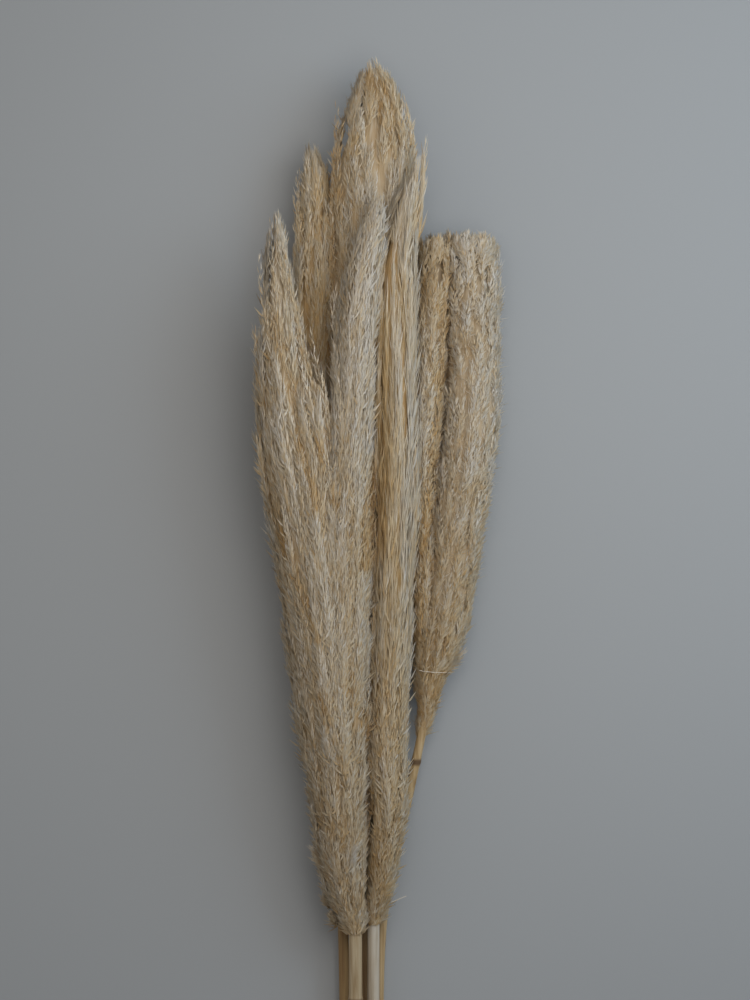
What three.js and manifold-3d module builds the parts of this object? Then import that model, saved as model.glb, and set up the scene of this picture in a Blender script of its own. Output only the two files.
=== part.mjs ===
// A bundle of five dried pampas grass stalks, laid down on a flat surface.
// Millimetres. +Y runs from the cut stem ends to the tips of the plumes, +X is to the right
// seen from above and +Z is up. The origin is under the middle of the bundle, on the surface.
// Each stalk is a bare straw-coloured culm and, above it, one plume of feathery side branches.
import * as THREE from "three";
import { mergeVertices } from "three/addons/utils/BufferGeometryUtils.js";
import Module from "manifold-3d";

const wasm = await Module();
wasm.setup();

// What all the stalks share
const fittingGap = 0.3; // left between pieces that touch
const culmSides = 10;
const culmStep = 56; // along the stalk, between two sections of a culm
const nodeSwelling = 1.14; // a culm's joint, against its plain diameter
const nodeLength = 3; // half of it, along the culm
const topTaper = 0.9; // a culm's diameter under the plume, against that at its cut end

// The dense middle of a plume, as a share of the way out to its outer limit
const coreShare = 0.76;
const coreEndShare = 0.45; // of that, at its blunt upper end
const coreEndSharpness = 12; // the higher, the later the core narrows to that end
const coreStop = 0.4; // of a tuft's length, from the core's end to the lobe's tip
const coreSides = 12;
const coreStep = 34; // along the plume, between two sections of its core

// The outer limit, which no tuft passes and which the neighbours keep clear of
const tipLimit = 0.985; // the furthest that a tuft reaches towards it
const limitSides = 18;
const limitStep = 24; // along the plume, between two of its sections

// How the tufts grow: lengths are shares of the lobe's tuft length
const firstRow = 3; // mm above the lobe's base
const firstRowShare = 0.6; // length of the lowest tufts, against the others
const lastRow = 0.8; // below the lobe's tip
const rootScatter = 0.22;
const topScatter = 0.1;
const lengthRange = [0.78, 1.08];
const widthRange = [0.8, 1.15]; // shares of the lobe's tuft width
const thinWidth = 0.55; // width at a thin tip of the lobe, against elsewhere
const thinBelow = 12; // mm, half the width of a lobe that counts as thin
const turnScatter = 0.2; // of the angle between two neighbours
const lean = 0.22; // radians between root and tip
const rootShare = 0.5; // of the way out to the outer limit
const tipShareRange = [0.93, 1];
const broadestPlace = 0.42; // a tuft is broadest there, from its root to its tip
const pressedShare = 0.95; // a tuft that would reach into a neighbour's room is left out

// The crown, slim tufts that close the top of a lobe, each second one nearer its middle
const crown = {
  rootRange: [0.85, 1],
  tipRange: [0, 0.28],
  scatter: 0.3,
  rootShare: 0.25,
  outerShare: [0.7, 0.95],
  innerShare: [0.25, 0.5],
  width: 0.7,
  depth: 0.8,
};

// The surface that the bundle lies on, as a block
const floorDepth = 60;
const floorReach = 2000;

// Every value in a lobe's outline is a real size in mm: how far along the bundle a section
// lies, its left and right edge seen from above, and its lowest and highest point.
// Below zero the plume is pressed flat against the surface.
const frontLeft = {
  name: "front_left",
  seed: 11,
  colour: 0xd6c8b0,
  culm: { colour: 0xb9a27c, diameter: 11.4, joints: [-205, -430] },
  culmPath: [
    [-17.3, -551, 11.3],
    [-18, -380, 18.5],
    [-18.4, -230, 27],
    [-18.6, -151.5, 32.5],
  ],
  lobes: [
    {
      tufts: { length: 98, width: 18, depth: 6, rows: 9, round: 9, crown: 7 },
      outline: [
        [-151.5, -27, -10, 24, 41],
        [-115, -45, -8, 18, 55],
        [-60, -55, -7, 15, 69],
        [87, -76, -5, 24, 89],
        [167, -87, -20, 28, 95],
        [243, -98, -42, 34, 98],
        [300, -99, -53, 38, 97],
        [350, -96, -60, 46, 92],
        [428, -87, -72, 62, 80],
      ],
    },
    {
      tufts: { length: 92, width: 16, depth: 6, rows: 5, round: 7, crown: 5 },
      outline: [
        [40, -48, -8, 34, 82],
        [167, -50, -3, 42, 93],
        [243, -44, -2, 48, 99],
        [300, -38, 0, 54, 101],
        [350, -33, 3, 60, 99],
        [400, -24, 6, 66, 95],
        [444, -6, 8, 74, 88],
      ],
    },
  ],
};

const middleRight = {
  name: "middle_right",
  seed: 7930,
  colour: 0xcbb791,
  culm: { colour: 0xcfc2a8, diameter: 10.3, joints: [-300] },
  culmPath: [
    [-3.5, -545, 11.7],
    [-3.6, -380, 15],
    [-4.2, -230, 19.5],
    [-4, -144.5, 23.5],
  ],
  lobes: [
    {
      tufts: { length: 124, width: 12, depth: 5, rows: 9, round: 7, crown: 5 },
      outline: [
        [-144.5, -11, 3, 16, 31],
        [-116, -10, 12, 13, 40],
        [-64, -9, 22, 11, 51],
        [4, -8, 24, 11, 59],
        [87, -6, 28, 13, 67],
        [167, -4, 32, 17, 73],
        [240, -2, 34, 25, 79],
        [320, -1, 32.5, 35, 81],
        [400, 0, 33, 47, 81],
        [460, 8, 34.5, 56, 77],
        [488, 30, 37, 62, 69],
      ],
    },
  ],
};

const tallMiddle = {
  name: "tall_middle",
  seed: 15849,
  colour: 0xcdbb98,
  culm: { colour: 0x8d7450, diameter: 8.4, joints: [-260] },
  culmPath: [
    [-9.5, -549, 4],
    [-10.5, -380, 5.4],
    [-11.2, -200, 9],
    [-8, -91, 13],
  ],
  lobes: [
    {
      tufts: { length: 98, width: 17, depth: 6, rows: 8, round: 8, crown: 7 },
      outline: [
        [-91, -15, -1, 6, 20],
        [50, -31, 10, 2, 34],
        [200, -42, 20, 1, 46],
        [330, -45, 24, 2, 58],
        [400, -45, 30, 7, 64],
        [460, -41, 31, 17, 66],
        [500, -33, 28, 27, 64],
        [530, -21, 20, 34, 58],
        [554, -15, -1, 42, 48],
      ],
    },
  ],
};

const backLeft = {
  name: "back_left",
  seed: 31687,
  colour: 0xb89d72,
  culm: { colour: 0x97805b, diameter: 8.8, joints: [-335] },
  culmPath: [
    [-25.5, -540, 4.19],
    [-27, -380, 7],
    [-27.6, -200, 11],
    [-31, -61, 12],
  ],
  lobes: [
    {
      tufts: { length: 94, width: 17, depth: 6, rows: 7, round: 6, crown: 6 },
      outline: [
        [-61, -38, -24, 5, 19],
        [60, -62, -20, 1, 30],
        [200, -72, -22, -2, 40],
        [300, -73, -24, -9, 46],
        [360, -73, -26, 0, 50],
        [420, -69, -31, 12, 51],
        [460, -63, -39, 22, 46],
        [487, -58, -51, 30, 37],
      ],
    },
  ],
};

const right = {
  name: "right",
  seed: 23768,
  colour: 0xc4ae88,
  culm: { colour: 0xc2a878, diameter: 7.8, joints: [-45, -280] },
  culmPath: [
    [1.4, -551, 3.72],
    [0.2, -380, 4.4],
    [0, -230, 5.2],
    [5, -130, 7],
    [25, -38, 14],
    [40.5, 37, 21],
  ],
  lobes: [
    {
      tufts: { length: 70, width: 15, depth: 6, rows: 8, round: 8, crown: 9 },
      outline: [
        [37, 35, 46, 15, 27],
        [76, 30, 70, 6, 42],
        [107, 32, 77, 2, 49],
        [147, 35, 84, -2, 56],
        [208, 40, 94, -6, 62],
        [255, 44, 100, -10, 64],
        [335, 47, 101, -4, 64],
        [387, 48, 100, 4, 60],
        [416, 52, 97, 10, 54],
      ],
    },
    {
      tufts: { length: 64, width: 12, depth: 5, rows: 5, round: 6, crown: 5 },
      outline: [
        [100, 22, 52, 8, 42],
        [190, 20, 51, 6, 52],
        [265, 21, 54, 6, 60],
        [335, 23, 57, 8, 62],
        [387, 26, 58, 12, 59],
        [412, 31, 56, 17, 50],
      ],
    },
  ],
};

// Where two plumes meet, the one named first keeps its shape and the later ones give way.
const stalks = [frontLeft, middleRight, tallMiddle, right, backLeft];

// A seeded row of random numbers, the same every time.
function randomRow(seed) {
  let state = seed;
  return (low, high) => {
    state = (state * 1664525 + 1013904223) % 4294967296;
    return low + ((high - low) * state) / 4294967296;
  };
}

// A closed mesh becomes a solid that can be joined and cut.
function solidFrom(geometry) {
  const bare = new THREE.BufferGeometry();
  bare.setAttribute("position", geometry.getAttribute("position"));
  bare.setIndex(geometry.index);
  const merged = mergeVertices(bare, 1e-4);
  const mesh = new wasm.Mesh({
    numProp: 3,
    vertProperties: new Float32Array(merged.getAttribute("position").array),
    triVerts: new Uint32Array(merged.index.array),
  });
  return new wasm.Manifold(mesh);
}

function geometryFrom(solid) {
  const mesh = solid.getMesh();
  const geometry = new THREE.BufferGeometry();
  geometry.setAttribute("position", new THREE.BufferAttribute(mesh.vertProperties, 3));
  geometry.setIndex(new THREE.BufferAttribute(mesh.triVerts, 1));
  geometry.computeVertexNormals();
  return geometry;
}

// A closed skin over sections of equally many points, which run anticlockwise seen from
// the far end, with a middle point closing each end.
function loftGeometry(sections) {
  const sides = sections[0].length;
  const points = sections.flat();
  const startMiddle = points.length;
  const endMiddle = startMiddle + 1;
  points.push(middleOf(sections[0]), middleOf(sections.at(-1)));
  const faces = [];
  for (let side = 0; side < sides; side += 1) {
    const next = (side + 1) % sides;
    faces.push(startMiddle, next, side);
    for (let ring = 0; ring < sections.length - 1; ring += 1) {
      const near = ring * sides;
      const far = near + sides;
      faces.push(near + side, near + next, far + next);
      faces.push(near + side, far + next, far + side);
    }
    const lastRing = (sections.length - 1) * sides;
    faces.push(endMiddle, lastRing + side, lastRing + next);
  }
  const geometry = new THREE.BufferGeometry().setFromPoints(points);
  geometry.setIndex(faces);
  return geometry;
}

function middleOf(points) {
  const sum = points.reduce((total, point) => total.add(point), new THREE.Vector3());
  return sum.divideScalar(points.length);
}

// The lobe's section at any distance along the bundle: a smooth curve through its outline.
function sectionAt(outline) {
  const stations = outline.map((row) => row[0]);
  const edges = outline.flatMap((row) => row.slice(1));
  const curve = new THREE.CubicInterpolant(stations, edges, 4);
  return (along) => {
    const [left, rightEdge, low, high] = curve.evaluate(along);
    return {
      x: (left + rightEdge) / 2,
      z: (low + high) / 2,
      halfWidth: (rightEdge - left) / 2,
      halfDepth: (high - low) / 2,
    };
  };
}

// A point of a lobe: along the bundle, at an angle round its middle line, and at a share
// of the way from that line to the outer limit.
function lobePoint(section, along, angle, share) {
  const { x, z, halfWidth, halfDepth } = section(along);
  return new THREE.Vector3(
    x + share * halfWidth * Math.cos(angle),
    along,
    z - share * halfDepth * Math.sin(angle),
  );
}

// Sections of a lobe at even steps, each at its own share of the outer limit.
function lobeSections(outline, first, last, step, sides, shareAt, margin) {
  const section = sectionAt(outline);
  const count = Math.max(2, Math.round((last - first) / step));
  return Array.from({ length: count + 1 }, (_, ring) => {
    const progress = ring / count;
    const along = THREE.MathUtils.lerp(first, last, progress);
    return Array.from({ length: sides }, (_unused, side) => {
      const angle = (2 * Math.PI * side) / sides;
      const point = lobePoint(section, along, angle, shareAt(progress));
      point.x += margin * Math.cos(angle);
      point.z -= margin * Math.sin(angle);
      return point;
    });
  });
}

// The dense middle of a lobe: it narrows to its root and to a blunt end among the last tufts.
function coreSolid({ outline, tufts }) {
  const first = outline[0][0];
  const last = outline.at(-1)[0] - tufts.length * coreStop;
  const share = (progress) => {
    return coreShare * (1 - (1 - coreEndShare) * progress ** coreEndSharpness);
  };
  const sections = lobeSections(outline, first, last, coreStep, coreSides, share, 0);
  return solidFrom(loftGeometry(sections));
}

// The room that a lobe takes up with all its tufts, and the fitting gap round it.
function limitSolid({ outline }) {
  const first = outline[0][0] - fittingGap;
  const last = outline.at(-1)[0] + fittingGap;
  const whole = () => 1;
  const sections = lobeSections(outline, first, last, limitStep, limitSides, whole, fittingGap);
  return solidFrom(loftGeometry(sections));
}

// One tuft, a side branch with its spikelets: a lance with three faces round its broadest
// place, from a root deep in the core to a tip at the lobe's outer limit.
function tuftSolid(section, size, place) {
  const broadAlong = THREE.MathUtils.lerp(place.rootAlong, place.tipAlong, broadestPlace);
  const broadAngle = THREE.MathUtils.lerp(place.rootAngle, place.tipAngle, broadestPlace);
  const { halfWidth, halfDepth } = section(broadAlong);
  const inset = size.depth / Math.min(halfWidth, halfDepth);
  const root = lobePoint(section, place.rootAlong, place.rootAngle, place.rootShare);
  const broad = lobePoint(section, broadAlong, broadAngle, place.tipShare - inset);
  const tip = lobePoint(section, place.tipAlong, place.tipAngle, place.tipShare);
  const outward = new THREE.Vector3(
    Math.cos(broadAngle) * halfDepth,
    0,
    -Math.sin(broadAngle) * halfWidth,
  ).normalize();
  const along = new THREE.Vector3().subVectors(tip, root).normalize();
  const sideways = new THREE.Vector3().crossVectors(along, outward).normalize();
  const ridge = broad.clone().addScaledVector(outward, size.depth);
  const oneSide = broad.clone().addScaledVector(sideways, -size.width / 2);
  const otherSide = broad.clone().addScaledVector(sideways, size.width / 2);
  const geometry = new THREE.BufferGeometry();
  geometry.setFromPoints([root, tip, ridge, oneSide, otherSide]);
  geometry.setIndex([0, 2, 3, 0, 3, 4, 0, 4, 2, 1, 3, 2, 1, 4, 3, 1, 2, 4]);
  return solidFrom(geometry);
}

// The tufts of a lobe stand in staggered rows round it, apart from those that are covered.
function rowTufts({ outline, tufts }, random, covered) {
  const section = sectionAt(outline);
  const first = outline[0][0] + firstRow;
  const top = outline.at(-1)[0];
  const last = top - tufts.length * lastRow;
  const made = [];
  for (let row = 0; row < tufts.rows; row += 1) {
    const rowAlong = THREE.MathUtils.lerp(first, last, row / (tufts.rows - 1));
    const rowLength = tufts.length * (row === 0 ? firstRowShare : 1);
    for (let turn = 0; turn < tufts.round; turn += 1) {
      const rootAlong = rowAlong + tufts.length * random(0, rootScatter);
      const highest = top - tufts.length * random(0, topScatter);
      const tipAlong = Math.min(highest, rootAlong + rowLength * random(...lengthRange));
      const turned = turn + (row % 2) / 2 + random(-turnScatter, turnScatter);
      const rootAngle = (2 * Math.PI * turned) / tufts.round;
      const tipAngle = rootAngle + random(-lean, lean);
      const tipShare = tipLimit * random(...tipShareRange);
      const fullness = Math.min(section(tipAlong).halfWidth / thinBelow, 1);
      const slimming = THREE.MathUtils.lerp(thinWidth, 1, fullness);
      const size = { width: tufts.width * slimming * random(...widthRange), depth: tufts.depth };
      const place = { rootAlong, tipAlong, rootAngle, tipAngle, rootShare, tipShare };
      if (!covered(lobePoint(section, (rootAlong + tipAlong) / 2, rootAngle, tipShare))) {
        made.push(tuftSolid(section, size, place));
      }
    }
  }
  return made;
}

function crownTufts({ outline, tufts }, random) {
  const section = sectionAt(outline);
  const top = outline.at(-1)[0];
  const size = { width: tufts.width * crown.width, depth: tufts.depth * crown.depth };
  return Array.from({ length: tufts.crown }, (_, spike) => {
    const turned = spike + random(-crown.scatter, crown.scatter);
    const rootAngle = (2 * Math.PI * turned) / tufts.crown;
    const place = {
      rootAlong: top - tufts.length * random(...crown.rootRange),
      tipAlong: top - tufts.length * random(...crown.tipRange),
      rootAngle,
      tipAngle: rootAngle + random(-lean, lean),
      rootShare: crown.rootShare,
      tipShare: random(...(spike % 2 ? crown.innerShare : crown.outerShare)),
    };
    return tuftSolid(section, size, place);
  });
}

// Sections of a culm at even steps, with three more at each joint, where it swells.
function culmSections(stalk, margin) {
  const path = new THREE.CatmullRomCurve3(stalk.culmPath.map((p) => new THREE.Vector3(...p)));
  const length = path.getLength();
  const start = stalk.culmPath[0][1];
  const end = stalk.culmPath.at(-1)[1];
  const count = Math.round(length / culmStep);
  const stops = Array.from({ length: count + 1 }, (_, stop) => ({ at: stop / count, swell: 1 }));
  for (const joint of stalk.culm.joints) {
    const at = (joint - start) / (end - start);
    const half = nodeLength / length;
    stops.push({ at: at - half, swell: 1 }, { at, swell: nodeSwelling }, { at: at + half, swell: 1 });
  }
  stops.sort((one, other) => one.at - other.at);
  return stops.map(({ at, swell }) => {
    const middle = path.getPointAt(at);
    const taper = THREE.MathUtils.lerp(1, topTaper, at);
    const radius = (stalk.culm.diameter / 2) * taper * swell + margin;
    if (at === 1) middle.y -= fittingGap;
    return Array.from({ length: culmSides }, (_, side) => {
      const angle = (2 * Math.PI * side) / culmSides;
      return new THREE.Vector3(
        middle.x + radius * Math.cos(angle),
        middle.y,
        middle.z - radius * Math.sin(angle),
      );
    });
  });
}

// The surface as a block, to press the plumes flat where they lie on it.
function floorSolid() {
  const block = new THREE.BoxGeometry(floorReach, floorReach, floorDepth);
  block.translate(0, 0, -floorDepth / 2);
  return solidFrom(block);
}

// Only the largest body is kept: a tuft cut off by a neighbour falls away.
function largestBody(solid) {
  const bodies = solid.decompose();
  return bodies.reduce((best, body) => (body.volume() > best.volume() ? body : best));
}

// A test for whether a point lies in the room of any of these lobes.
function coveredBy(lobes) {
  const sections = lobes.map((lobe) => sectionAt(lobe.outline));
  return ({ x, y, z }) =>
    lobes.some(({ outline }, index) => {
      if (y < outline[0][0] || y > outline.at(-1)[0]) return false;
      const room = sections[index](y);
      const share = Math.hypot((x - room.x) / room.halfWidth, (z - room.z) / room.halfDepth);
      return share < pressedShare;
    });
}

// A plume is its cores and tufts in one body, pressed flat by the surface and by the
// plumes ahead of it, with a channel for each culm that runs past.
function plumeMesh(stalk, index) {
  const random = randomRow(stalk.seed);
  const lobesAhead = stalks.slice(0, index).flatMap((other) => other.lobes);
  const covered = coveredBy(lobesAhead);
  const pieces = stalk.lobes.flatMap((lobe) => {
    return [coreSolid(lobe), ...rowTufts(lobe, random, covered), ...crownTufts(lobe, random)];
  });
  const ahead = lobesAhead.map(limitSolid);
  const otherCulms = stalks
    .filter((other) => other !== stalk)
    .map((other) => solidFrom(loftGeometry(culmSections(other, fittingGap))));
  const cutters = wasm.Manifold.union([floorSolid(), ...ahead, ...otherCulms]);
  const plume = largestBody(wasm.Manifold.union(pieces).subtract(cutters));
  const material = new THREE.MeshStandardMaterial({
    color: stalk.colour,
    roughness: 0.95,
    metalness: 0,
  });
  const mesh = new THREE.Mesh(geometryFrom(plume), material);
  mesh.name = "plume_" + stalk.name;
  return mesh;
}

function culmMesh(stalk) {
  const material = new THREE.MeshStandardMaterial({
    color: stalk.culm.colour,
    roughness: 0.6,
    metalness: 0,
  });
  const mesh = new THREE.Mesh(loftGeometry(culmSections(stalk, 0)), material);
  mesh.name = "culm_" + stalk.name;
  return mesh;
}

const bundle = new THREE.Group();
stalks.forEach((stalk, index) => {
  bundle.add(culmMesh(stalk), plumeMesh(stalk, index));
});

export default bundle;
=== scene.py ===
"""A loose bundle of five dried pampas grass stalks that lies on a pale floor, seen from straight above.

Lengths are in metres. +Y runs from the cut stem ends to the tips, +X to the right and +Z up.
"""

import math

import bpy
import mathutils
import numpy as np
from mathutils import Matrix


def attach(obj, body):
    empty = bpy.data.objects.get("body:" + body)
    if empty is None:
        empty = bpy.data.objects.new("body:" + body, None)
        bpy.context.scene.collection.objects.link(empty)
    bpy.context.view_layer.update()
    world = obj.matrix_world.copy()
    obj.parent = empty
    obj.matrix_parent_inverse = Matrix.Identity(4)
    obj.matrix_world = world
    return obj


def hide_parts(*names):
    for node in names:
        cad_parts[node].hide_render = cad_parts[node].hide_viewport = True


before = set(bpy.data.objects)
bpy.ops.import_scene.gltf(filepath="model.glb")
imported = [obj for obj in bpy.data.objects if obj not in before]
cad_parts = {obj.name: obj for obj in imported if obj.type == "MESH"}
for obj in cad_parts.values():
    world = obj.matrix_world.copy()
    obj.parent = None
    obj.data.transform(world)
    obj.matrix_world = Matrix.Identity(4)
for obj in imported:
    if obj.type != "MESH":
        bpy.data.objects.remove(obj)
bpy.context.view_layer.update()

# The culms
# A culm is the bare, pithy stem of one stalk: straw-coloured, satin, finely ribbed along its length, with
# a thicker joint every two hands or so. It grew in one piece and was cut straight across at its foot.
CULM_SIDES = 26
CULM_RINGS = 84
CULM_RIBS = 13
RIB_HEIGHT = 0.011  # share of the culm's radius
OVAL = 0.035  # share by which a section is wider one way than the other
TOP_TAPER = 0.9  # a culm's diameter under its plume, against that at its foot
JOINT_SWELLING = 0.16
JOINT_HALF = 0.0032  # along the culm
JOINT_RINGS = 9  # of points, added at each joint
JOINT_REACH = 2.2  # how far to either side of a joint they lie, against its half
PITH_HOLLOW = 0.0022  # depth of the shrunken pith in the cut end
INTO_PLUME = 0.045  # how far a culm is made on, out of sight, inside its plume

# A culm's joints are places along it. Its path has x, along and height of its middle line.
culms = {
    "front_left": {
        "slot": "culm_straw", "diameter": 0.0114, "joints": [-0.205, -0.430],
        "straw": (0.68, 0.56, 0.38), "streak": (0.46, 0.33, 0.19),
        "path": [(-0.0173, -0.551, 0.0113), (-0.0180, -0.380, 0.0185), (-0.0184, -0.230, 0.0270),
                 (-0.0186, -0.1515, 0.0325)],
    },
    "middle_right": {
        "slot": "culm_pale", "diameter": 0.0103, "joints": [-0.300],
        "straw": (0.80, 0.74, 0.65), "streak": (0.60, 0.52, 0.41),
        "path": [(-0.0035, -0.545, 0.0117), (-0.0036, -0.380, 0.0150), (-0.0042, -0.230, 0.0195),
                 (-0.0040, -0.1445, 0.0235)],
    },
    "tall_middle": {
        "slot": "culm_brown", "diameter": 0.0084, "joints": [-0.260],
        "straw": (0.42, 0.29, 0.15), "streak": (0.23, 0.14, 0.065),
        "path": [(-0.0095, -0.549, 0.0042), (-0.0105, -0.380, 0.0054), (-0.0112, -0.200, 0.0090),
                 (-0.0080, -0.091, 0.0130)],
    },
    "right": {
        "slot": "culm_straw", "diameter": 0.0078, "joints": [-0.0132, -0.280],
        "straw": (0.76, 0.58, 0.34), "streak": (0.49, 0.32, 0.15),
        "path": [(0.0014, -0.551, 0.0040), (0.0002, -0.380, 0.0044), (0.0, -0.230, 0.0052),
                 (0.0050, -0.130, 0.0070), (0.0250, -0.038, 0.0140), (0.0405, 0.037, 0.0210)],
    },
    "back_left": {
        "slot": "culm_brown", "diameter": 0.0088, "joints": [-0.335],
        "straw": (0.52, 0.345, 0.16), "streak": (0.30, 0.18, 0.08),
        "path": [(-0.0255, -0.540, 0.0045), (-0.0270, -0.380, 0.0070), (-0.0276, -0.200, 0.0110),
                 (-0.0310, -0.061, 0.0120)],
    },
}


def smooth_rows(rows, at):
    """The columns of rows at the stations `at`. Its first column holds the stations. Between two rows each
    column runs on the cubic that has the rows' values and, as slopes, the means of both neighbours'."""
    rows = np.asarray(rows, float)
    stations, values = rows[:, 0], rows[:, 1:]
    slopes = np.gradient(values, stations, axis=0)
    below = np.clip(np.searchsorted(stations, at) - 1, 0, len(stations) - 2)
    span = (stations[below + 1] - stations[below])[..., None]
    t = np.clip((at - stations[below])[..., None] / span, 0, 1)
    start = (1 + 2 * t) * (1 - t) ** 2 * values[below] + t * (1 - t) ** 2 * span * slopes[below]
    end = t**2 * (3 - 2 * t) * values[below + 1] + t**2 * (t - 1) * span * slopes[below + 1]
    return start + end


def add_mesh(name, points, faces):
    """A smooth mesh object at the origin, from an array of points and an array of faces of one size."""
    mesh = bpy.data.meshes.new(name)
    corners = faces.shape[1]
    mesh.vertices.add(len(points))
    mesh.vertices.foreach_set("co", np.asarray(points, np.float32).ravel())
    mesh.loops.add(faces.size)
    mesh.loops.foreach_set("vertex_index", np.asarray(faces, np.int32).ravel())
    mesh.polygons.add(len(faces))
    mesh.polygons.foreach_set("loop_start", np.arange(0, faces.size, corners, dtype=np.int32))
    mesh.polygons.foreach_set("use_smooth", np.full(len(faces), True))
    mesh.update(calc_edges=True)
    piece = bpy.data.objects.new(name, mesh)
    bpy.context.scene.collection.objects.link(piece)
    return piece


def grid_faces(rings, sides):
    """Triangles of a closed skin over rings of points, which join round, and of a fan over each end ring.
    The middle points of the ends follow the rings' points."""
    ring, side = np.meshgrid(np.arange(rings - 1), np.arange(sides), indexing="ij")
    here = (ring * sides + side).ravel()
    beside = (ring * sides + (side + 1) % sides).ravel()
    skin = np.concatenate([
        np.stack([here, beside + sides, beside], 1),
        np.stack([here, here + sides, beside + sides], 1),
    ])
    rim = np.arange(sides)
    after = (rim + 1) % sides
    last = (rings - 1) * sides
    foot = np.stack([rim, after, np.full(sides, rings * sides)], 1)
    top = np.stack([last + after, last + rim, np.full(sides, rings * sides + 1)], 1)
    return np.concatenate([skin, foot, top])


def culm_points(culm):
    """Rings of points along the culm's path. The radius is half the diameter times the taper, 1 plus a
    bell at each joint, 1 plus fine ribs and an oval. The foot's middle point lies in the hollow pith."""
    path = np.array(culm["path"])
    rows = path[:, [1, 0, 2]]
    low, high = path[0, 1], path[-1, 1]
    beside_joint = JOINT_HALF * np.linspace(-JOINT_REACH, JOINT_REACH, JOINT_RINGS)
    at_joints = [joint + beside_joint for joint in culm["joints"]]
    along = np.sort(np.concatenate([np.linspace(low, high + INTO_PLUME, CULM_RINGS), *at_joints]))
    middle = smooth_rows(rows, along)
    past_end = np.clip(along - high, 0, None)[:, None]
    middle = middle + past_end * (rows[-1, 1:] - rows[-2, 1:]) / (rows[-1, 0] - rows[-2, 0])
    taper = 1 - (1 - TOP_TAPER) * (along - low) / (high - low)
    bells = sum(np.exp(-(((along - joint) / JOINT_HALF) ** 2)) for joint in culm["joints"])
    radius = culm["diameter"] / 2 * taper * (1 + JOINT_SWELLING * bells)
    turn = np.linspace(0, 2 * math.pi, CULM_SIDES, endpoint=False)
    ribs = 1 + RIB_HEIGHT * np.cos(CULM_RIBS * turn) + OVAL * np.cos(2 * turn)
    reach = radius[:, None] * ribs
    rings = np.stack([
        middle[:, :1] + reach * np.cos(turn),
        np.repeat(along[:, None], CULM_SIDES, 1),
        middle[:, 1:] + reach * np.sin(turn),
    ], 2)
    foot = (middle[0, 0], low + PITH_HOLLOW, middle[0, 1])
    top = (middle[-1, 0], along[-1], middle[-1, 1])
    return np.concatenate([rings.reshape(-1, 3), [foot, top]]), len(along)


def culm_finish(name, culm):
    """Straw with darker streaks that run along it, a brown ring at each joint, a satin skin that is duller
    in the streaks, and ribs fine enough to be felt, as bump."""
    material = bpy.data.materials.new(name)
    material.use_nodes = True
    nodes, links = material.node_tree.nodes, material.node_tree.links
    shader = nodes["Principled BSDF"]
    place = nodes.new("ShaderNodeTexCoord")
    stretch = nodes.new("ShaderNodeMapping")
    stretch.inputs["Scale"].default_value = (420, 7, 420)
    grain = nodes.new("ShaderNodeTexNoise")
    grain.inputs["Scale"].default_value = 1
    grain.inputs["Detail"].default_value = 5
    ramp = nodes.new("ShaderNodeValToRGB")
    ramp.color_ramp.elements[0].position = 0.34
    ramp.color_ramp.elements[0].color = (*culm["streak"], 1)
    ramp.color_ramp.elements[1].position = 0.62
    ramp.color_ramp.elements[1].color = (*culm["straw"], 1)
    mottle = nodes.new("ShaderNodeTexNoise")
    mottle.inputs["Scale"].default_value = 38
    weathered = nodes.new("ShaderNodeMix")
    weathered.data_type = "RGBA"
    weathered.blend_type = "MULTIPLY"
    weathered.inputs["B"].default_value = (0.80, 0.74, 0.64, 1)
    apart = nodes.new("ShaderNodeSeparateXYZ")
    links.new(place.outputs["Object"], apart.inputs[0])
    colour = weathered.outputs["Result"]
    for joint in culm["joints"]:
        distance = nodes.new("ShaderNodeMath")
        distance.operation = "SUBTRACT"
        distance.inputs[1].default_value = joint
        away = nodes.new("ShaderNodeMath")
        away.operation = "ABSOLUTE"
        band = nodes.new("ShaderNodeMapRange")
        band.inputs["From Min"].default_value = JOINT_HALF * 1.1
        band.inputs["From Max"].default_value = JOINT_HALF * 0.4
        ringed = nodes.new("ShaderNodeMix")
        ringed.data_type = "RGBA"
        ringed.inputs["B"].default_value = (0.17, 0.10, 0.05, 1)
        links.new(apart.outputs["Y"], distance.inputs[0])
        links.new(distance.outputs[0], away.inputs[0])
        links.new(away.outputs[0], band.inputs["Value"])
        links.new(band.outputs["Result"], ringed.inputs["Factor"])
        links.new(colour, ringed.inputs["A"])
        colour = ringed.outputs["Result"]
    dull = nodes.new("ShaderNodeMapRange")
    dull.inputs["To Min"].default_value = 0.72
    dull.inputs["To Max"].default_value = 0.42
    bump = nodes.new("ShaderNodeBump")
    bump.inputs["Strength"].default_value = 0.35
    bump.inputs["Distance"].default_value = 0.0004
    links.new(place.outputs["Object"], stretch.inputs["Vector"])
    links.new(place.outputs["Object"], mottle.inputs["Vector"])
    links.new(stretch.outputs["Vector"], grain.inputs["Vector"])
    links.new(grain.outputs["Fac"], ramp.inputs["Fac"])
    links.new(mottle.outputs["Fac"], weathered.inputs["Factor"])
    links.new(ramp.outputs["Color"], weathered.inputs["A"])
    links.new(colour, shader.inputs["Base Color"])
    links.new(grain.outputs["Fac"], dull.inputs["Value"])
    links.new(dull.outputs["Result"], shader.inputs["Roughness"])
    links.new(grain.outputs["Fac"], bump.inputs["Height"])
    links.new(bump.outputs["Normal"], shader.inputs["Normal"])
    return material


for name, culm in culms.items():
    points, rings = culm_points(culm)
    piece = add_mesh("stem_" + name, points, grid_faces(rings, CULM_SIDES))
    piece.data.materials.append(culm_finish("straw_" + name, culm))
    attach(piece, "root")
    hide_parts("culm_" + name)

# The hearts of the plumes
# In the middle of each lobe of a plume its axis and its slender side branches are matted with chaff into a
# dense, folded core, which shows as darker streaks in the gaps between the tufts. It grew in one piece at
# the top of its culm. A plume has up to three such lobes.

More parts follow.
